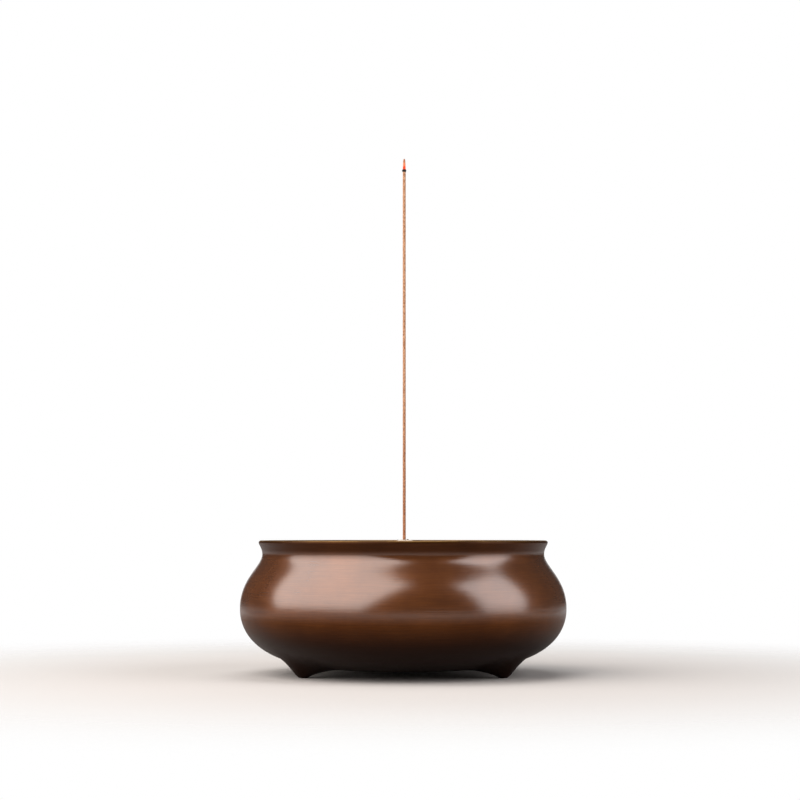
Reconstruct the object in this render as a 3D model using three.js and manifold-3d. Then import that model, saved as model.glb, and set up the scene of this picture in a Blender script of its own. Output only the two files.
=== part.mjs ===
// Tripod incense burner: a low bellied bronze bowl on three small feet, filled with ash,
// with one lit incense stick standing in the middle of the ash.
// Millimetres, +Z up, origin on the ground under the middle of the bowl.

import * as THREE from 'three';
import { mergeVertices } from 'three/addons/utils/BufferGeometryUtils.js';
import Module from 'manifold-3d';

const wasm = await Module();
wasm.setup();

// Bowl: heights are above the ground, radii are of the outer surface.
const baseRadius = 24; // flat middle of the underside
const baseHeight = 2.8;
const baseSweep = 40.2; // how far the curve runs level as it leaves the base
const bellyRadius = 76.2;
const bellyHeight = 30.9;
const bellyDrop = 14; // how far the curve runs plumb below the widest point
const bellyRise = 13.9; // and above it
const neckRadius = 65.9;
const neckHeight = 56;
const neckDrop = 5.5; // how far the curve runs plumb below the neck
const neckRise = 2; // and above it
const lipRadius = 67.6; // outermost point of the flared lip
const rimHeight = 62.4; // top of the rim
const lipThickness = 2.2;
const lipTurnDegrees = 25; // lean of the flare where it meets the rounded edge
const wallThickness = 3;

// Feet: each is a low nipple that runs out into the underside.
const footCount = 3;
const footCircleRadius = 52.5; // from the axis to the middle of a tip
const footTipRadius = 1.4; // flat that touches the ground
const footOuterSlope = 1.48; // rise per millimetre, facing away from the axis
const footInnerSlope = 0.45; // the same, facing the axis
const footOuterRoundness = 1.6;
const footInnerRoundness = 0.2;
const footFillet = 5.2;

// Ash bed with the little mound that holds the stick.
const ashClearance = 0.3;
const ashLevel = 51.4;
const moundRise = 11.5;
const moundRadius = 26;

// Incense stick, from its foot in the ash up to its burning tip.
const stickDiameter = 1.5;
const stickOffset = 0.5; // towards +X from the axis
const stickBuriedDepth = 25;
const unburntLength = 198.6;
const charDiameter = 2.2;
const charHeight = 1.3;
const emberHeight = 3.2;
const emberTopDiameter = 1.2;
const ashTipHeight = 1.8;
const ashTipDiameter = 0.9;

// Facets of the turned shapes.
const bowlSides = 48;
const stickSides = 16;
const footSides = 24;
const footRings = 8;
const undersideSteps = 10;
const shoulderSteps = 8;
const flareSteps = 3;
const lipSteps = 5;
const moundSteps = 9;

const moundHeight = ashLevel + moundRise;
const stickFootHeight = moundHeight - stickBuriedDepth;
const charStart = stickFootHeight + unburntLength;
const emberStart = charStart + charHeight;
const ashTipStart = emberStart + emberHeight;
const stickTop = ashTipStart + ashTipHeight;

const point = (radius, height) => new THREE.Vector2(radius, height);

const undersideCurve = new THREE.CubicBezierCurve(
  point(baseRadius, baseHeight),
  point(baseRadius + baseSweep, baseHeight),
  point(bellyRadius, bellyHeight - bellyDrop),
  point(bellyRadius, bellyHeight),
);

const shoulderCurve = new THREE.CubicBezierCurve(
  point(bellyRadius, bellyHeight),
  point(bellyRadius, bellyHeight + bellyRise),
  point(neckRadius, neckHeight - neckDrop),
  point(neckRadius, neckHeight),
);

// Points along a curve, moved in towards the hollow by an inset square to the curve.
function pointsAlong(curve, steps, inset = 0) {
  const points = [];
  for (let step = 0; step <= steps; step += 1) {
    const place = curve.getPoint(step / steps);
    const heading = curve.getTangent(step / steps);
    points.push(point(place.x - heading.y * inset, place.y + heading.x * inset));
  }
  return points;
}

// Height of the bowl's underside at a distance from the axis.
function undersideHeight(radius) {
  let low = 0;
  let high = 1;
  while (high - low > 1e-7) {
    const middle = (low + high) / 2;
    if (undersideCurve.getPoint(middle).x < radius) low = middle;
    else high = middle;
  }
  return undersideCurve.getPoint(low).y;
}

function turned(profile, sides) {
  const geometry = new THREE.LatheGeometry(profile, sides);
  geometry.rotateX(Math.PI / 2);
  return geometry;
}

function toSolid(geometry) {
  const bare = geometry.clone();
  bare.deleteAttribute('normal');
  bare.deleteAttribute('uv');
  const merged = mergeVertices(bare, 1e-5);
  const corners = merged.index.array;
  const kept = [];
  for (let start = 0; start < corners.length; start += 3) {
    const [a, b, c] = corners.slice(start, start + 3);
    if (a !== b && b !== c && c !== a) kept.push(a, b, c);
  }
  const mesh = new wasm.Mesh({
    numProp: 3,
    vertProperties: new Float32Array(merged.attributes.position.array),
    triVerts: new Uint32Array(kept),
  });
  return new wasm.Manifold(mesh);
}

function toGeometry(solid) {
  const mesh = solid.getMesh();
  const geometry = new THREE.BufferGeometry();
  geometry.setAttribute('position', new THREE.BufferAttribute(mesh.vertProperties, 3));
  geometry.setIndex(new THREE.BufferAttribute(mesh.triVerts, 1));
  geometry.computeVertexNormals();
  return geometry;
}

// The bowl's section runs from the underside, up the outside, round the lip
// and down the inside back to the axis.
function bowlProfile() {
  const lipCentre = point(lipRadius - lipThickness / 2, rimHeight - lipThickness / 2);
  const turn = THREE.MathUtils.degToRad(lipTurnDegrees);
  const lip = [];
  for (let step = 0; step <= lipSteps; step += 1) {
    const angle = -turn + (step / lipSteps) * (Math.PI + turn);
    const offset = point(Math.cos(angle), Math.sin(angle)).multiplyScalar(lipThickness / 2);
    lip.push(lipCentre.clone().add(offset));
  }
  const flare = new THREE.CubicBezierCurve(
    point(neckRadius, neckHeight),
    point(neckRadius, neckHeight + neckRise),
    point(lip[0].x - neckRise * Math.sin(turn), lip[0].y - neckRise * Math.cos(turn)),
    lip[0],
  );
  const outside = [
    point(0, baseHeight),
    ...pointsAlong(undersideCurve, undersideSteps),
    ...pointsAlong(shoulderCurve, shoulderSteps).slice(1),
    ...pointsAlong(flare, flareSteps).slice(1),
    ...lip.slice(1),
  ];
  return [...outside, ...hollowProfile(wallThickness).reverse()];
}

// The hollow's section, from the axis up to the neck, at a depth inside the outer surface.
function hollowProfile(depth) {
  return [
    point(0, baseHeight + depth),
    ...pointsAlong(undersideCurve, undersideSteps, depth),
    ...pointsAlong(shoulderCurve, shoulderSteps, depth).slice(1),
  ];
}

// Height of a foot's surface, by distance from the middle of its tip and by angle
// from the direction that faces away from the axis.
function footHeight(distance, angle) {
  const outward = (1 + Math.cos(angle)) / 2;
  const slope = THREE.MathUtils.lerp(footInnerSlope, footOuterSlope, outward);
  const roundness = THREE.MathUtils.lerp(footInnerRoundness, footOuterRoundness, outward);
  const run = Math.max(distance - footTipRadius, 0);
  const nipple = slope * (Math.hypot(run, roundness) - roundness);
  const belly = bellyAbove(distance, angle);
  const nearness = Math.max(footFillet - Math.abs(nipple - belly), 0) / footFillet;
  const height = Math.min(nipple, belly) - (nearness * nearness * footFillet) / 4;
  return { height: Math.max(height, 0), clear: nipple - belly };
}

function bellyAbove(distance, angle) {
  const along = footCircleRadius + distance * Math.cos(angle);
  return undersideHeight(Math.hypot(along, distance * Math.sin(angle)));
}

// Where a foot's fillet has run out into the underside.
function footReach(angle) {
  let distance = footTipRadius;
  while (footHeight(distance, angle).clear < footFillet) distance += 0.1;
  return distance;
}

// One foot on the +X side, closed inside the bowl's wall.
function footSolid() {
  const positions = [footCircleRadius, 0, 0];
  const triangles = [];
  const place = (distance, angle, height) => {
    positions.push(footCircleRadius + distance * Math.cos(angle), distance * Math.sin(angle), height);
  };
  const angles = Array.from({ length: footSides }, (_, side) => (side / footSides) * 2 * Math.PI);
  for (let ring = 0; ring <= footRings; ring += 1) {
    for (const angle of angles) {
      const distance = THREE.MathUtils.lerp(footTipRadius, footReach(angle), ring / footRings);
      place(distance, angle, footHeight(distance, angle).height);
    }
  }
  for (const angle of angles) {
    const distance = footReach(angle);
    place(distance, angle, bellyAbove(distance, angle) + wallThickness / 2);
  }
  place(0, 0, bellyAbove(0, 0) + wallThickness / 2);
  const crown = positions.length / 3 - 1;
  for (let side = 0; side < footSides; side += 1) {
    const next = (side + 1) % footSides;
    triangles.push(0, 1 + next, 1 + side);
    for (let ring = 0; ring <= footRings; ring += 1) {
      const inner = 1 + ring * footSides;
      const outer = inner + footSides;
      triangles.push(inner + side, inner + next, outer + next);
      triangles.push(inner + side, outer + next, outer + side);
    }
    const roof = 1 + (footRings + 1) * footSides;
    triangles.push(crown, roof + side, roof + next);
  }
  const geometry = new THREE.BufferGeometry();
  geometry.setAttribute('position', new THREE.Float32BufferAttribute(positions, 3));
  geometry.setIndex(triangles);
  return geometry;
}

function censerBody() {
  let solid = toSolid(turned(bowlProfile(), bowlSides));
  for (let foot = 0; foot < footCount; foot += 1) {
    const geometry = footSolid();
    geometry.rotateZ(Math.PI / 2 + (foot / footCount) * 2 * Math.PI);
    solid = solid.add(toSolid(geometry));
  }
  return toGeometry(solid);
}

// Ash fills the hollow, level at the wall and heaped round the stick.
function ashBed() {
  const depth = wallThickness + ashClearance;
  const above = moundHeight + ashClearance;
  const filling = [
    ...hollowProfile(depth),
    point(neckRadius - depth, above),
    point(0, above),
  ];
  const heap = [point(0, 0), point(bellyRadius, 0), point(bellyRadius, ashLevel)];
  for (let step = moundSteps; step >= 0; step -= 1) {
    const share = step / moundSteps;
    const height = ashLevel + moundRise * Math.cos((share * Math.PI) / 2) ** 2;
    heap.push(point(share * moundRadius, height));
  }
  const hole = new THREE.CylinderGeometry(
    stickDiameter / 2 + ashClearance,
    stickDiameter / 2 + ashClearance,
    stickBuriedDepth + 2 * ashClearance,
    stickSides,
  );
  hole.rotateX(Math.PI / 2);
  hole.translate(stickOffset, 0, stickFootHeight + stickBuriedDepth / 2);
  const solid = toSolid(turned(filling, bowlSides))
    .intersect(toSolid(turned(heap, bowlSides)))
    .subtract(toSolid(hole));
  return toGeometry(solid);
}

// Each length of the stick is turned about its own axis.
function stickLength(profile) {
  const geometry = turned(profile, stickSides);
  geometry.translate(stickOffset, 0, 0);
  return geometry;
}

function incenseStick() {
  const radius = stickDiameter / 2;
  return stickLength([
    point(0, stickFootHeight),
    point(radius, stickFootHeight),
    point(radius, charStart),
    point(0, charStart),
  ]);
}

function charRing() {
  return stickLength([
    point(0, charStart),
    point(stickDiameter / 2, charStart),
    point(charDiameter / 2, charStart + charHeight / 3),
    point(charDiameter / 2, emberStart - charHeight / 3),
    point(stickDiameter / 2, emberStart),
    point(0, emberStart),
  ]);
}

function ember() {
  return stickLength([
    point(0, emberStart),
    point(stickDiameter / 2, emberStart),
    point(emberTopDiameter / 2, ashTipStart),
    point(0, ashTipStart),
  ]);
}

function ashTip() {
  return stickLength([
    point(0, ashTipStart),
    point(emberTopDiameter / 2, ashTipStart),
    point(ashTipDiameter / 2, stickTop - ashTipDiameter / 2),
    point(ashTipDiameter / 4, stickTop),
    point(0, stickTop),
  ]);
}

function piece(name, geometry, color, roughness, metalness) {
  const material = new THREE.MeshStandardMaterial({ color, roughness, metalness });
  const mesh = new THREE.Mesh(geometry, material);
  mesh.name = name;
  return mesh;
}

const censer = new THREE.Group();
censer.add(
  piece('censer_body', censerBody(), '#65401f', 0.35, 0.6),
  piece('ash_bed', ashBed(), '#cbb8a6', 0.95, 0),
);

const burningStick = new THREE.Group();
burningStick.add(
  piece('incense_stick', incenseStick(), '#c8946f', 0.9, 0),
  piece('char_ring', charRing(), '#231a15', 0.95, 0),
  piece('ember', ember(), '#f5502c', 0.8, 0),
  piece('ash_tip', ashTip(), '#b1765a', 0.95, 0),
);

const burner = new THREE.Group();
burner.add(censer, burningStick);

export default burner;
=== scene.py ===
# Looks of the tripod incense burner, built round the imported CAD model. Metres, +Z up.
import math
import bpy
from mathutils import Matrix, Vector, noise


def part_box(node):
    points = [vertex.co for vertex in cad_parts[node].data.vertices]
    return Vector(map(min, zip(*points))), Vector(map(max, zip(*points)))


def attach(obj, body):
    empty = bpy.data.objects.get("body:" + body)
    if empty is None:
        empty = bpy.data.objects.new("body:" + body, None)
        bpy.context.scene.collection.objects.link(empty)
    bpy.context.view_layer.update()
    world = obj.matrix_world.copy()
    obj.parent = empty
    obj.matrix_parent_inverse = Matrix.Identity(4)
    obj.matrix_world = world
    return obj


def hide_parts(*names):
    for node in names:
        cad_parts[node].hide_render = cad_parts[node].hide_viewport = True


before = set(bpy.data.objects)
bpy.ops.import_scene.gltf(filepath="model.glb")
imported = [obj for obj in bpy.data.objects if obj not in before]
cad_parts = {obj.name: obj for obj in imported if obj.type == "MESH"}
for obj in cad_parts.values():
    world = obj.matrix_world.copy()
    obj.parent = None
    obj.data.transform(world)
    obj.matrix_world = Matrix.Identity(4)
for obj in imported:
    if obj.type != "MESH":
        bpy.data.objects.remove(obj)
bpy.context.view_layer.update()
mm = 0.001
print("frame loaded")


def linear(hexColour):
    values = [int(hexColour[i:i + 2], 16) / 255 for i in (1, 3, 5)]
    return [v / 12.92 if v <= 0.04045 else ((v + 0.055) / 1.055) ** 2.4 for v in values] + [1.0]


def mix(a, b, share):
    return a + (b - a) * share


# Adds a node, sets its properties and sockets, and links sockets given as (node, output)
def addNode(tree, kind, settings=None, **sockets):
    node = tree.nodes.new(kind)
    for name, value in (settings or {}).items():
        setattr(node, name, value)
    for name, value in sockets.items():
        socket = node.inputs[int(name[1:])] if name[1:].isdigit() else node.inputs[name.replace("_", " ")]
        if isinstance(value, tuple) and isinstance(value[0], bpy.types.Node):
            tree.links.new(value[0].outputs[value[1]], socket)
        else:
            socket.default_value = value
    return node


def newMaterial(name):
    material = bpy.data.materials.new(name)
    material.use_nodes = True
    tree = material.node_tree
    tree.nodes.clear()
    return material, tree


def finishMaterial(tree, shader, output="BSDF"):
    addNode(tree, "ShaderNodeOutputMaterial", Surface=(shader, output))


def ramp(tree, source, stops):
    node = addNode(tree, "ShaderNodeValToRGB", Fac=source)
    elements = node.color_ramp.elements
    while len(elements) < len(stops):
        elements.new(0.5)
    for element, (position, colour) in zip(elements, stops):
        element.position = position
        element.color = linear(colour) if isinstance(colour, str) else [colour] * 3 + [1.0]
    return node


def smoothRange(tree, value, start, full, **sockets):
    return addNode(tree, "ShaderNodeMapRange", {"interpolation_type": "SMOOTHSTEP"}, Value=value,
                   From_Min=start, From_Max=full, **sockets)


def multiply(tree, first, second):
    return addNode(tree, "ShaderNodeMath", {"operation": "MULTIPLY"}, _0=first, _1=second)


def blend(tree, share, first, second, kind="MIX"):
    return addNode(tree, "ShaderNodeMix", {"data_type": "RGBA", "blend_type": kind},
                   _0=share, _6=first, _7=second)


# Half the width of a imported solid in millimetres, from the corners of its box
def halfWidth(low, high):
    return (high.x - low.x) / 2 / mm


def newPiece(name, vertices, faces, material, body, node):
    mesh = bpy.data.meshes.new(name)
    mesh.from_pydata(vertices, [], faces)
    mesh.validate()
    mesh.shade_smooth()
    mesh.materials.append(material)
    piece = bpy.data.objects.new(name, mesh)
    bpy.context.scene.collection.objects.link(piece)
    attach(piece, body)
    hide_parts(node)
    return piece


# Camera: about a metre away and just above the rim, tipped up a little so that the stick fits.
# Places in metres, lens and sensor in millimetres.
camera = {
    "distance": 1.0,
    "height": 0.0655,
    "aim": (-0.0015, 0, 0.1283),
    "lens": 95.8,
    "sensorWidth": 36,
    "clipStart": 0.05,
}


def makeCamera(c):
    data = bpy.data.cameras.new("camera")
    data.lens = c["lens"]
    data.sensor_width = c["sensorWidth"]
    data.clip_start = c["clipStart"]
    eye = bpy.data.objects.new("camera", data)
    eye.location = (0, -c["distance"], c["height"])
    eye.rotation_euler = (Vector(c["aim"]) - eye.location).to_track_quat("-Z", "Y").to_euler()
    bpy.context.scene.collection.objects.link(eye)
    bpy.context.scene.camera = eye


makeCamera(camera)
print("camera made")

# Bowl, in millimetres: radii of the outer surface and heights above the ground
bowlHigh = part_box("censer_body")[1]
bowl = {
    "bellyRadius": bowlHigh.x / mm,
    "rimHeight": bowlHigh.z / mm,
    "baseRadius": 24, "baseHeight": 2.8, "baseSweep": 40.2,
    "bellyHeight": 30.9, "bellyDrop": 14, "bellyRise": 13.9,
    "neckRadius": 65.9, "neckHeight": 56, "neckDrop": 5.5, "neckRise": 2,
    "lipRadius": 67.6, "lipThickness": 2.2, "lipTurn": 25,
    "wall": 3,
    "sides": 300, "undersideSteps": 90, "shoulderSteps": 44, "flareSteps": 10, "lipSteps": 14,
    "insideSteps": 26,
}
foot = {
    "count": 3, "circleRadius": 52.5, "tipRadius": 1.4,
    "outerSlope": 1.48, "innerSlope": 0.45, "outerRoundness": 1.6, "innerRoundness": 0.2,
    "fillet": 5.2,
    "crowding": 0.6,  # how much closer together the sides of the bowl lie at a foot
}


def bezier(corners, t):
    weights = ((1 - t) ** 3, 3 * (1 - t) ** 2 * t, 3 * (1 - t) * t * t, t ** 3)
    return [sum(w * corner[axis] for w, corner in zip(weights, corners)) for axis in (0, 1)]


def bezierHeading(corners, t):
    weights = ((1 - t) ** 2, 2 * (1 - t) * t, t * t)
    steps = [[b[axis] - a[axis] for axis in (0, 1)] for a, b in zip(corners, corners[1:])]
    heading = [sum(w * step[axis] for w, step in zip(weights, steps)) for axis in (0, 1)]
    length = math.hypot(*heading)
    return [heading[0] / length, heading[1] / length]


def alongCurve(corners, steps, inset=0):
    points = []
    for step in range(steps + 1):
        r, z = bezier(corners, step / steps)
        dr, dz = bezierHeading(corners, step / steps)
        points.append((r - dz * inset, z + dr * inset))
    return points


def undersideCurve(b):
    return [
        (b["baseRadius"], b["baseHeight"]),
        (b["baseRadius"] + b["baseSweep"], b["baseHeight"]),
        (b["bellyRadius"], b["bellyHeight"] - b["bellyDrop"]),
        (b["bellyRadius"], b["bellyHeight"]),
    ]


def shoulderCurve(b):
    return [
        (b["bellyRadius"], b["bellyHeight"]),
        (b["bellyRadius"], b["bellyHeight"] + b["bellyRise"]),
        (b["neckRadius"], b["neckHeight"] - b["neckDrop"]),
        (b["neckRadius"], b["neckHeight"]),
    ]


def hollowOutline(b, depth, steps):
    base = [(0, b["baseHeight"] + depth), (b["baseRadius"] / 2, b["baseHeight"] + depth)]
    return base + alongCurve(undersideCurve(b), steps, depth) + alongCurve(shoulderCurve(b), steps, depth)[1:]


# Outline from the middle of the underside, up the outside, over the lip and down the inside
def bowlOutline(b):
    half = b["lipThickness"] / 2
    centre = (b["lipRadius"] - half, b["rimHeight"] - half)
    turn = math.radians(b["lipTurn"])
    lip = []
    for step in range(b["lipSteps"] + 1):
        angle = -turn + step / b["lipSteps"] * (math.pi + turn)
        lip.append((centre[0] + half * math.cos(angle), centre[1] + half * math.sin(angle)))
    start = lip[0]
    flare = [
        (b["neckRadius"], b["neckHeight"]),
        (b["neckRadius"], b["neckHeight"] + b["neckRise"]),
        (start[0] - b["neckRise"] * math.sin(turn), start[1] - b["neckRise"] * math.cos(turn)),
        start,
    ]
    underside = [(0, b["baseHeight"]), (b["baseRadius"] / 2, b["baseHeight"])]
    underside += alongCurve(undersideCurve(b), b["undersideSteps"])
    outside = alongCurve(shoulderCurve(b), b["shoulderSteps"])[1:]
    outside += alongCurve(flare, b["flareSteps"])[1:] + lip[1:]
    inside = hollowOutline(b, b["wall"], b["insideSteps"])[::-1]
    return underside, outside + inside


# Height of the underside at a radius and angle: the lower of the bowl and the nearest foot,
# with the corner between them filled in
def footHeight(f, radius, angle, belly):
    pitch = 2 * math.pi / f["count"]
    turn = (angle - math.pi / 2 + pitch / 2) % pitch - pitch / 2
    along = radius * math.cos(turn) - f["circleRadius"]
    across = radius * math.sin(turn)
    distance = math.hypot(along, across)
    outward = (1 + along / distance) / 2 if distance else 0.5
    slope = mix(f["innerSlope"], f["outerSlope"], outward)
    roundness = mix(f["innerRoundness"], f["outerRoundness"], outward)
    run = max(distance - f["tipRadius"], 0)
    nipple = slope * (math.hypot(run, roundness) - roundness)
    nearness = max(f["fillet"] - abs(nipple - belly), 0) / f["fillet"]
    return max(min(nipple, belly) - nearness * nearness * f["fillet"] / 4, 0)


# Turned mesh with its poles closed by fans, and the run along the outline kept as an attribute
def turnedMesh(outline, angles, heightAt):
    sides = len(angles)
    rings = outline[1:-1]
    vertices = [(0, 0, outline[0][1] * mm)]
    runs = [0]
    run = 0
    before = outline[0]
    for index, (r, z) in enumerate(rings):
        run += math.hypot(r - before[0], z - before[1])
        before = (r, z)
        for angle in angles:
            height = heightAt(index, r, z, angle)
            vertices.append((r * math.cos(angle) * mm, r * math.sin(angle) * mm, height * mm))
            runs.append(run * mm)
    vertices.append((0, 0, outline[-1][1] * mm))
    runs.append((run + before[0]) * mm)
    faces = [(0, 1 + (side + 1) % sides, 1 + side) for side in range(sides)]
    for ring in range(len(rings) - 1):
        first = 1 + ring * sides
        for side in range(sides):
            nextSide = (side + 1) % sides
            faces.append((first + side, first + nextSide, first + sides + nextSide, first + sides + side))
    last = 1 + (len(rings) - 1) * sides
    top = len(vertices) - 1
    faces += [(last + side, last + (side + 1) % sides, top) for side in range(sides)]
    return vertices, faces, runs


def makeBowl(b, f, material):
    underside, rest = bowlOutline(b)
    angles = []
    for side in range(b["sides"]):
        even = side / b["sides"] * 2 * math.pi
        angles.append(even - f["crowding"] / f["count"] * math.sin(f["count"] * (even - math.pi / 2)))

    def heightAt(index, r, z, angle):
        return footHeight(f, r, angle, z) if index < len(underside) - 1 else z

    vertices, faces, runs = turnedMesh(underside + rest, angles, heightAt)
    piece = newPiece("bowl_and_feet", vertices, faces, material, "censer", "censer_body")
    piece.data.attributes.new("turnedRun", "FLOAT", "POINT").data.foreach_set("value", runs)


# Cast bronze with a rubbed and waxed brown skin. The metallic brown base gives a dull warm sheen.
# The coat stands for the wax together with the dense oxide under it, hence its high index, and
# gives the broad pale reflections, which the fine turned lines round the bowl streak and soften.
bronze = {
    "brownLight": "#82491b", "brownDark": "#6a380f",
    "paintedShadeBrown": "#26130a",  # painted shade: the brown darkens to this towards the underside and in the hollow under the lip
    "patchSize": 22,  # mm
    "patinaMetalness": 0.6,
    "lineWidth": 0.45,  # mm, drawn coarser than the real turning marks so that it shows
    "lineLength": 16,  # mm
    "lineDepth": 0.05,  # mm
    "lineShade": 0.76,
    "rimWear": 0.75, "rimBare": 0.225,  # mm below the top of the rim where wear starts and is full
    "leastWear": 0.35,
    "bareMetal": "#876534",
    "shadeLiftsFrom": 13, "shadeGoneAt": 40,  # mm above the ground, as are the heights of the wax; the painted shade on the underside is full below the first and gone above the second
    "waxFrom": 25, "waxFull": 37,
    "waxFades": 53, "waxEnds": 58.2,
    "leastWax": 0.04,
    "skinIndex": 2.1, "skinRoughness": 0.2,
    "underLipUnshaded": 0.22,  # how much of the brown is left under the lip; the rest is painted shade
}


def makeBronze(m):
    material, tree = newMaterial("waxed cast bronze patina")
    place = addNode(tree, "ShaderNodeTexCoord")
    parts = addNode(tree, "ShaderNodeSeparateXYZ", Vector=(place, "Object"))
    height = (parts, "Z")
    patches = addNode(tree, "ShaderNodeTexNoise", Vector=(place, "Object"),
                      Scale=1 / (m["patchSize"] * mm), Detail=4.0, Roughness=0.55)

    # the lines are a noise that is short along the outline and long round the bowl
    run = addNode(tree, "ShaderNodeAttribute", {"attribute_name": "turnedRun"})
    around = addNode(tree, "ShaderNodeVectorMath", {"operation": "SCALE"},
                     Vector=(place, "Object"), Scale=1 / (m["lineLength"] * mm))
    split = addNode(tree, "ShaderNodeSeparateXYZ", Vector=(around, 0))
    lineRun = multiply(tree, (run, "Fac"), 1 / (m["lineWidth"] * mm))
    lineSpace = addNode(tree, "ShaderNodeCombineXYZ", X=(split, "X"), Y=(split, "Y"), Z=(lineRun, 0))
    lines = addNode(tree, "ShaderNodeTexNoise", Vector=(lineSpace, 0), Scale=1.0, Detail=3.0, Roughness=0.7)
    relief = addNode(tree, "ShaderNodeBump", Strength=0.7, Distance=m["lineDepth"] * mm,
                     Height=(lines, "Fac"))

    # wax reaches the belly and shoulder, but not the underside or the hollow under the lip; there the brown
    # is darkened with painted shade
    waxLow = smoothRange(tree, height, m["waxFrom"] * mm, m["waxFull"] * mm)
    waxHigh = smoothRange(tree, height, m["waxEnds"] * mm, m["waxFades"] * mm)
    waxBand = multiply(tree, (waxLow, 0), (waxHigh, 0))
    waxed = addNode(tree, "ShaderNodeMapRange", Value=(waxBand, 0), To_Min=m["leastWax"], To_Max=1.0)
    # painted shade: the brown darkens towards the underside and under the lip, where shade falls
    unshadedLow = smoothRange(tree, height, m["shadeLiftsFrom"] * mm, m["shadeGoneAt"] * mm)
    underLipUnshaded = addNode(tree, "ShaderNodeMapRange", Value=(waxHigh, 0), To_Min=m["underLipUnshaded"], To_Max=1.0)
    unshadedShare = multiply(tree, (unshadedLow, 0), (underLipUnshaded, 0))
    brown = ramp(tree, (patches, "Fac"), [(0.3, m["brownDark"]), (0.7, m["brownLight"])])
    shadedBrown = blend(tree, (unshadedShare, 0), linear(m["paintedShadeBrown"]), (brown, "Color"))
    lineShade = ramp(tree, (lines, "Fac"), [(0.35, m["lineShade"]), (0.65, 1.0)])
    lined = blend(tree, 1.0, (shadedBrown, 2), (lineShade, "Color"), "MULTIPLY")

    # bare metal along the rim, worn unevenly
    wornEdge = smoothRange(tree, height, bowlHigh.z - m["rimWear"] * mm, bowlHigh.z - m["rimBare"] * mm)
    patchyWear = addNode(tree, "ShaderNodeMapRange", Value=(patches, "Fac"),
                         From_Min=0.4, From_Max=0.55, To_Min=m["leastWear"], To_Max=1.0)
    worn = multiply(tree, (wornEdge, 0), (patchyWear, 0))
    colour = blend(tree, (worn, 0), (lined, 2), linear(m["bareMetal"]))
    metalness = addNode(tree, "ShaderNodeMapRange", Value=(worn, 0),
                        To_Min=m["patinaMetalness"], To_Max=1.0)
    roughness = addNode(tree, "ShaderNodeMapRange", Value=(lines, "Fac"), To_Min=0.38, To_Max=0.5)
    shader = addNode(tree, "ShaderNodeBsdfPrincipled", Base_Color=(colour, 2), Metallic=(metalness, 0),
                     Roughness=(roughness, 0), Normal=(relief, 0), Coat_Weight=(waxed, 0),
                     Coat_Roughness=m["skinRoughness"], Coat_IOR=m["skinIndex"],
                     Specular_IOR_Level=0.0, Coat_Normal=(relief, 0))
    finishMaterial(tree, shader)
    return material


makeBowl(bowl, foot, makeBronze(bronze))
print("bowl made")

# Ash bed, in millimetres: level at the wall, heaped round the stick
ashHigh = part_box("ash_bed")[1]
stickLow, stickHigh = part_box("incense_stick")
ash = {
    "clearance": 0.3,
    "level": 51.4,
    "top": ashHigh.z / mm,
    "edgeStep": 0.3,  # from the wall to the outermost ring of the surface
    "moundRadius": 26,
    "holeCentre": (stickLow.x + stickHigh.x) / 2 / mm,
    "holeDepth": 5,
    "holeFloor": 3,  # below the level of the ash
    "sides": 180, "rings": 90, "wallSteps": 32,
    "ringCrowding": 1.4,  # above 1 the rings lie closer together at the stick
    "ripple": 0.35, "rippleScale": 0.12,  # height, and waves in a millimetre
    "grain": 0.08, "grainScale": 0.9,
    "calmRadius": 8,  # the surface is smoother this near the stick
    "pale": "#d9cbbb", "dark": "#bfae9b", "speckSize": 0.5, "speckDepth": 0.2,
    "crumb": "#3a2c22",
    # burnt crumbs that fell beside the stick: place across, place along, size
    "crumbs": [(2.1, -0.7, 1.0), (5.0, 0.3, 0.7), (-2.6, 1.4, 0.55), (0.9, -2.9, 0.6), (-4.2, -1.6, 0.45)],
    "crumbLift": 0.15,  # share of its size by which a crumb's middle is above the ash
    "crumbUnevenness": 0.45, "crumbScale": 0.9,
    "crumbDepth": 0.8, "crumbHeight": 0.6,  # as shares of its width
}
# Corners and faces of a lump with twelve corners, and its width across them
lumpCorners = [(0, -1, -1.6), (0, 1, -1.6), (0, -1, 1.6), (0, 1, 1.6), (-1, -1.6, 0), (1, -1.6, 0),
               (-1, 1.6, 0), (1, 1.6, 0), (-1.6, 0, -1), (-1.6, 0, 1), (1.6, 0, -1), (1.6, 0, 1)]
lumpFaces = [(0, 1, 10), (0, 8, 1), (2, 11, 3), (2, 3, 9), (0, 10, 5), (0, 4, 8), (1, 7, 10), (1, 8, 6),
             (2, 5, 11), (2, 9, 4), (3, 11, 7), (3, 6, 9), (4, 0, 5), (4, 5, 2), (6, 7, 1), (6, 3, 7),
             (8, 4, 9), (8, 9, 6), (10, 11, 5), (10, 7, 11)]
lumpWidth = 3.8


# Height of the mound above the level ash, at a distance from its middle
def moundHeight(a, away):
    return math.cos(min(away / a["moundRadius"], 1) * math.pi / 2) ** 2 * (a["top"] - a["level"])


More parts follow.
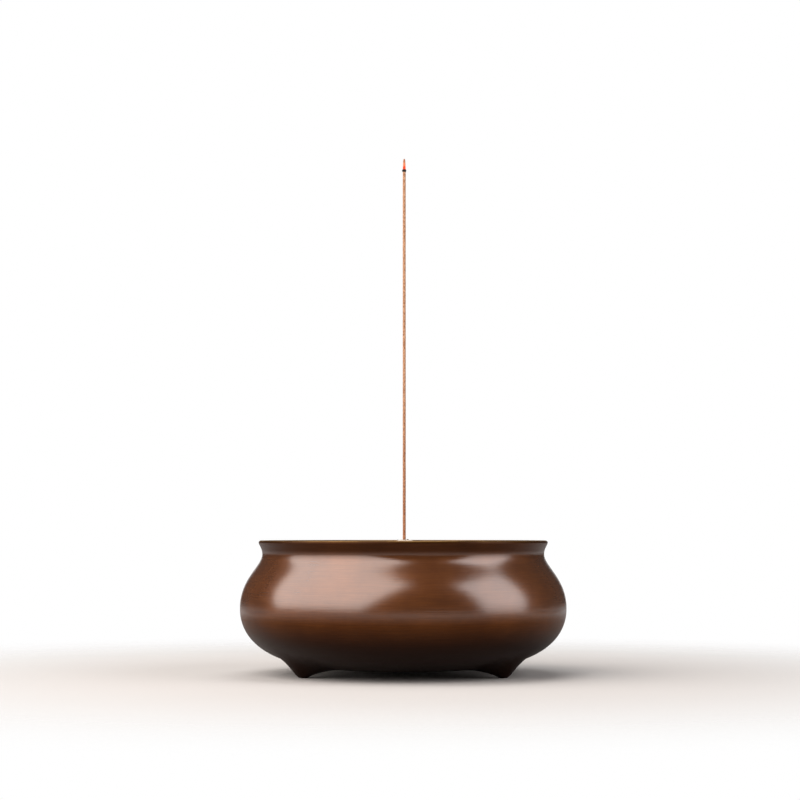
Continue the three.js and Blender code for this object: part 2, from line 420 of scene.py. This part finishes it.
def makeAsh(a, b, material):
    depth = b["wall"] + a["clearance"]
    wall = [point for point in hollowOutline(b, depth, a["wallSteps"]) if point[1] < a["level"]]
    edge = wall[-1][0]
    hole = halfWidth(stickLow, stickHigh) + a["clearance"] / 2
    outline = list(wall)
    for ring in range(a["rings"]):
        share = (1 - ring / a["rings"]) ** a["ringCrowding"]
        outline.append((mix(hole, edge - a["edgeStep"], share), a["level"]))
    outline.append((hole, a["level"] - a["holeFloor"]))
    outline.append((0, a["level"] - a["holeFloor"]))
    angles = [side / a["sides"] * 2 * math.pi for side in range(a["sides"])]
    topRing = len(wall) - 1
    holeRing = len(outline) - 3

    def heightAt(index, r, z, angle):
        if index < topRing:
            return z
        if index >= holeRing:
            return a["top"] - a["holeDepth"]
        spot = Vector((r * math.cos(angle), r * math.sin(angle), 0))
        calm = min(r / a["calmRadius"], 1)
        ripple = noise.noise(spot * a["rippleScale"]) * a["ripple"] * calm
        grain = noise.noise(spot * a["grainScale"]) * a["grain"] * calm
        return min(a["level"] + moundHeight(a, r) + (ripple + grain), a["top"])

    vertices, faces, _ = turnedMesh(outline, angles, heightAt)
    # the mound leans over to the stick, which stands a little off the middle
    shifted = []
    for x, y, z in vertices:
        away = math.hypot(x, y) / mm
        pull = max(1 - away / a["moundRadius"], 0) * a["holeCentre"] * mm
        shifted.append((x + pull, y, z))
    bare = len(shifted)
    for across, along, size in a["crumbs"]:
        rise = moundHeight(a, math.hypot(across, along))
        centre = Vector((across, along, a["level"] + rise + size * a["crumbLift"]))
        first = len(shifted)
        for corner in lumpCorners:
            spot = Vector(corner)
            uneven = 1 + a["crumbUnevenness"] * noise.noise(spot * a["crumbScale"] + centre)
            spot = Vector((spot.x, spot.y * a["crumbDepth"], spot.z * a["crumbHeight"]))
            shifted.append(tuple((centre + spot * uneven * size / lumpWidth) * mm))
        faces += [tuple(first + corner for corner in face) for face in lumpFaces]
    piece = newPiece("ash", shifted, faces, material, "censer", "ash_bed")
    burnt = [0.0] * bare + [1.0] * (len(shifted) - bare)
    piece.data.attributes.new("burnt", "FLOAT", "POINT").data.foreach_set("value", burnt)


# Fine sifted incense ash: a soft, matt, warm grey powder with small darker specks
def makeAshMaterial(a):
    material, tree = newMaterial("sifted incense ash")
    place = addNode(tree, "ShaderNodeTexCoord")
    specks = addNode(tree, "ShaderNodeTexNoise", Vector=(place, "Object"),
                     Scale=1 / (a["speckSize"] * mm), Detail=3.0)
    colour = ramp(tree, (specks, "Fac"), [(0.34, a["dark"]), (0.5, a["pale"])])
    burnt = addNode(tree, "ShaderNodeAttribute", {"attribute_name": "burnt"})
    coloured = blend(tree, (burnt, "Fac"), (colour, "Color"), linear(a["crumb"]))
    relief = addNode(tree, "ShaderNodeBump", Strength=0.6, Distance=a["speckDepth"] * mm,
                     Height=(specks, "Fac"))
    shader = addNode(tree, "ShaderNodeBsdfPrincipled", Base_Color=(coloured, 2), Roughness=0.95,
                     Normal=(relief, 0))
    finishMaterial(tree, shader)
    return material


makeAsh(ash, bowl, makeAshMaterial(ash))
print("ash made")

# Stick, in millimetres: pressed incense, slightly uneven, with the burning end above it
stick = {
    "sides": 20, "ringStep": 0.7, "fewestRings": 14,
    "unevenness": 0.1, "charUnevenness": 0.15,  # most that a swell falls short, as a share of the radius
    "swellAcross": 0.8, "swellAlong": 0.45,  # swells in a millimetre
    "grainWidth": 0.5, "grainLength": 0.9, "grainDepth": 0.1,
    "tan": "#d3a27e", "tanDark": "#96603d",
    "footTan": "#eedbd0", "footReach": 0.55,  # share of the height above the ash
    "char": "#1d130e", "charDark": "#0d0806",
    "charShoulder": 0.3,  # share of the ring's height over which it swells, at each end
    "glow": "#ff4a22", "glowDark": "#d42a0c", "glowStrength": 0.7, "leastGlow": 0.1,
    "emberAsh": "#cf8a63",  # thin ash that dulls the glow towards the tip
    "tip": "#c67c55", "tipDark": "#94583a",
    "tipShape": [(0.72, 0.46), (1, 0.24)],  # share of the tip's height, radius there
}


def interpolate(stops, share):
    for (a, ra), (b, rb) in zip(stops, stops[1:]):
        if share <= b:
            return mix(ra, rb, (share - a) / (b - a))
    return stops[-1][1]


def stickPiece(name, node, material, radii, unevenness):
    low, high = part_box(node)
    centre = ((low.x + high.x) / 2, (low.y + high.y) / 2)
    length = (high.z - low.z) / mm
    rings = max(int(length / stick["ringStep"]), stick["fewestRings"])
    angles = [side / stick["sides"] * 2 * math.pi for side in range(stick["sides"])]
    outline = [(0, low.z / mm)]
    for ring in range(rings + 1):
        share = ring / rings
        outline.append((interpolate(radii, share), low.z / mm + share * length))
    outline.append((0, high.z / mm))
    vertices, faces, _ = turnedMesh(outline, angles, lambda index, r, z, angle: z)
    across = stick["swellAcross"]
    along = stick["swellAlong"]
    placed = []
    for x, y, z in vertices:
        spot = Vector((x / mm * across, y / mm * across, z / mm * along))
        swell = 1 - unevenness * (0.5 + 0.5 * noise.noise(spot))
        placed.append((centre[0] + x * swell, centre[1] + y * swell, z))
    newPiece(name, placed, faces, material, "stick", node)


# Matt pressed powder, with darker grain along it. The paste is a little redder towards the ash.
# The ember glows through a thin skin of ash that dulls it in spots and towards its top.
def makeStickMaterial(name, pale, dark, footTan=None, glowStrength=None):
    material, tree = newMaterial(name)
    place = addNode(tree, "ShaderNodeTexCoord")
    parts = addNode(tree, "ShaderNodeSeparateXYZ", Vector=(place, "Object"))
    x = multiply(tree, (parts, "X"), 1 / (stick["grainWidth"] * mm))
    y = multiply(tree, (parts, "Y"), 1 / (stick["grainWidth"] * mm))
    z = multiply(tree, (parts, "Z"), 1 / (stick["grainLength"] * mm))
    space = addNode(tree, "ShaderNodeCombineXYZ", X=(x, 0), Y=(y, 0), Z=(z, 0))
    grain = addNode(tree, "ShaderNodeTexNoise", Vector=(space, 0), Scale=1.0, Detail=3.0)
    colour = ramp(tree, (grain, "Fac"), [(0.35, dark), (0.6, pale)])
    relief = addNode(tree, "ShaderNodeBump", Strength=0.4, Distance=stick["grainDepth"] * mm,
                     Height=(grain, "Fac"))
    skin = (colour, "Color")
    glowing = {}
    if footTan:
        footTop = mix(ashHigh.z, stickHigh.z, stick["footReach"])
        foot = smoothRange(tree, (parts, "Z"), footTop, ashHigh.z)
        skin = (blend(tree, (foot, 0), skin, linear(footTan), "MULTIPLY"), 2)
    if glowStrength:
        low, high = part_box("ember")
        upwards = addNode(tree, "ShaderNodeMapRange", Value=(parts, "Z"), From_Min=low.z, From_Max=high.z)
        spotted = multiply(tree, (upwards, 0), (grain, "Fac"))
        cooled = addNode(tree, "ShaderNodeMapRange", Value=(spotted, 0), From_Min=0.12, From_Max=0.42)
        skin = (blend(tree, (cooled, 0), skin, linear(stick["emberAsh"])), 2)
        heat = addNode(tree, "ShaderNodeMapRange", Value=(cooled, 0),
                       To_Min=glowStrength, To_Max=stick["leastGlow"])
        glowing = {"Emission_Color": skin, "Emission_Strength": (heat, 0)}
    shader = addNode(tree, "ShaderNodeBsdfPrincipled", Base_Color=skin, Roughness=0.9,
                     Normal=(relief, 0), **glowing)
    finishMaterial(tree, shader)
    return material


def makeStick(s):
    radius = halfWidth(stickLow, stickHigh)
    charRadius = halfWidth(*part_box("char_ring"))
    emberTop = halfWidth(*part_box("ash_tip"))
    shoulder = s["charShoulder"]
    stickPiece("unburnt_stick", "incense_stick",
               makeStickMaterial("pressed incense paste", s["tan"], s["tanDark"], footTan=s["footTan"]),
               [(0, radius), (1, radius)], s["unevenness"])
    stickPiece("charred_ring", "char_ring",
               makeStickMaterial("charred incense", s["char"], s["charDark"]),
               [(0, radius), (shoulder, charRadius), (1 - shoulder, charRadius), (1, radius)],
               s["charUnevenness"])
    stickPiece("glowing_ember", "ember",
               makeStickMaterial("glowing ember", s["glow"], s["glowDark"], glowStrength=s["glowStrength"]),
               [(0, radius), (1, emberTop)], s["unevenness"])
    stickPiece("burnt_ash_tip", "ash_tip",
               makeStickMaterial("burnt ash tip", s["tip"], s["tipDark"]),
               [(0, emberTop)] + s["tipShape"], s["unevenness"])


makeStick(stick)
print("stick made")

# Studio: a pale floor that keeps the shadow and fades out into a white ground below the horizon.
# Straight behind the bowl a narrow strip of the room is white too. The rest of the room is dim,
# so that the bronze is brown between the reflections of the soft lamps.
studio = {
    "floorRadius": 1.0, "floorSides": 96,
    "fadeFrom": 0.1, "fadeTo": 0.38,  # metres from the bowl's axis
    "floor": "#dddad7",
    "roomBack": 1.0, "roomFront": 0.05,  # 1 is white
    "backdropWidth": 11, "backdropSide": 15,  # degrees to each side of straight back
    "backdropHeight": 24, "backdropTop": 36,  # degrees above the horizon
    "horizonFrom": -0.01, "horizonFull": -0.05,  # sines of the angle above the horizon
}
# Azimuth is from the camera's side towards the right, distances in metres, power in watts a square metre
lamps = [
    {"name": "left_softbox", "azimuth": -62, "elevation": 37, "distance": 0.95, "size": (1.62, 1.35),
     "power": 8, "colour": "#fff7f2"},
    {"name": "right_softbox", "azimuth": 73, "elevation": 24, "distance": 1.0, "size": (0.72, 1.0),
     "power": 7.5, "colour": "#fbf6f6"},
    {"name": "overhead_softbox", "azimuth": 180, "elevation": 76, "distance": 0.9, "size": (0.6, 0.6),
     "power": 7, "colour": "#ffffff"},
]
lampTarget = Vector((0, 0, 0.035))


def makeFloor(s):
    radius = s["floorRadius"]
    sides = s["floorSides"]
    vertices = [(0, 0, 0)]
    for side in range(sides):
        angle = side / sides * 2 * math.pi
        vertices.append((radius * math.cos(angle), radius * math.sin(angle), 0))
    faces = [(0, 1 + side, 1 + (side + 1) % sides) for side in range(sides)]
    mesh = bpy.data.meshes.new("floor")
    mesh.from_pydata(vertices, [], faces)
    material, tree = newMaterial("pale painted floor")
    place = addNode(tree, "ShaderNodeTexCoord")
    away = addNode(tree, "ShaderNodeVectorMath", {"operation": "LENGTH"}, Vector=(place, "Object"))
    fade = smoothRange(tree, (away, "Value"), s["fadeFrom"], s["fadeTo"])
    paint = addNode(tree, "ShaderNodeBsdfDiffuse", Color=linear(s["floor"]))
    clear = addNode(tree, "ShaderNodeBsdfTransparent")
    both = addNode(tree, "ShaderNodeMixShader", _0=(fade, 0), _1=(paint, 0), _2=(clear, 0))
    finishMaterial(tree, both, 0)
    mesh.materials.append(material)
    floor = bpy.data.objects.new("floor", mesh)
    bpy.context.scene.collection.objects.link(floor)


def makeWorld(s):
    world = bpy.data.worlds.new("studio")
    world.use_nodes = True
    tree = world.node_tree
    tree.nodes.clear()
    place = addNode(tree, "ShaderNodeTexCoord")
    parts = addNode(tree, "ShaderNodeSeparateXYZ", Vector=(place, "Generated"))
    aside = addNode(tree, "ShaderNodeMath", {"operation": "ABSOLUTE"}, _0=(parts, "X"))
    narrow = smoothRange(tree, (aside, 0), math.sin(math.radians(s["backdropSide"])),
                         math.sin(math.radians(s["backdropWidth"])))
    far = smoothRange(tree, (parts, "Y"), math.cos(math.radians(s["backdropTop"])),
                      math.cos(math.radians(s["backdropHeight"])))
    backdrop = multiply(tree, (narrow, 0), (far, 0))
    level = addNode(tree, "ShaderNodeMapRange", Value=(backdrop, 0),
                    To_Min=s["roomFront"], To_Max=s["roomBack"])
    below = smoothRange(tree, (parts, "Z"), s["horizonFrom"], s["horizonFull"], To_Max=s["roomBack"])
    brightest = addNode(tree, "ShaderNodeMath", {"operation": "MAXIMUM"}, _0=(level, 0), _1=(below, 0))
    light = addNode(tree, "ShaderNodeBackground", Color=linear("#ffffff"), Strength=(brightest, 0))
    addNode(tree, "ShaderNodeOutputWorld", Surface=(light, 0))
    bpy.context.scene.world = world


def makeLamp(lamp):
    data = bpy.data.lights.new(lamp["name"], "AREA")
    data.shape = "RECTANGLE"
    data.size, data.size_y = lamp["size"]
    data.energy = lamp["power"] * data.size * data.size_y
    data.color = linear(lamp["colour"])[:3]
    azimuth = math.radians(lamp["azimuth"])
    elevation = math.radians(lamp["elevation"])
    away = Vector((math.sin(azimuth) * math.cos(elevation), -math.cos(azimuth) * math.cos(elevation),
                   math.sin(elevation)))
    holder = bpy.data.objects.new(lamp["name"], data)
    holder.location = lampTarget + away * lamp["distance"]
    holder.rotation_euler = (-away).to_track_quat("-Z", "Y").to_euler()
    bpy.context.scene.collection.objects.link(holder)


makeFloor(studio)
makeWorld(studio)
for lamp in lamps:
    makeLamp(lamp)
bpy.context.scene.view_settings.view_transform = "Standard"
print("studio made")
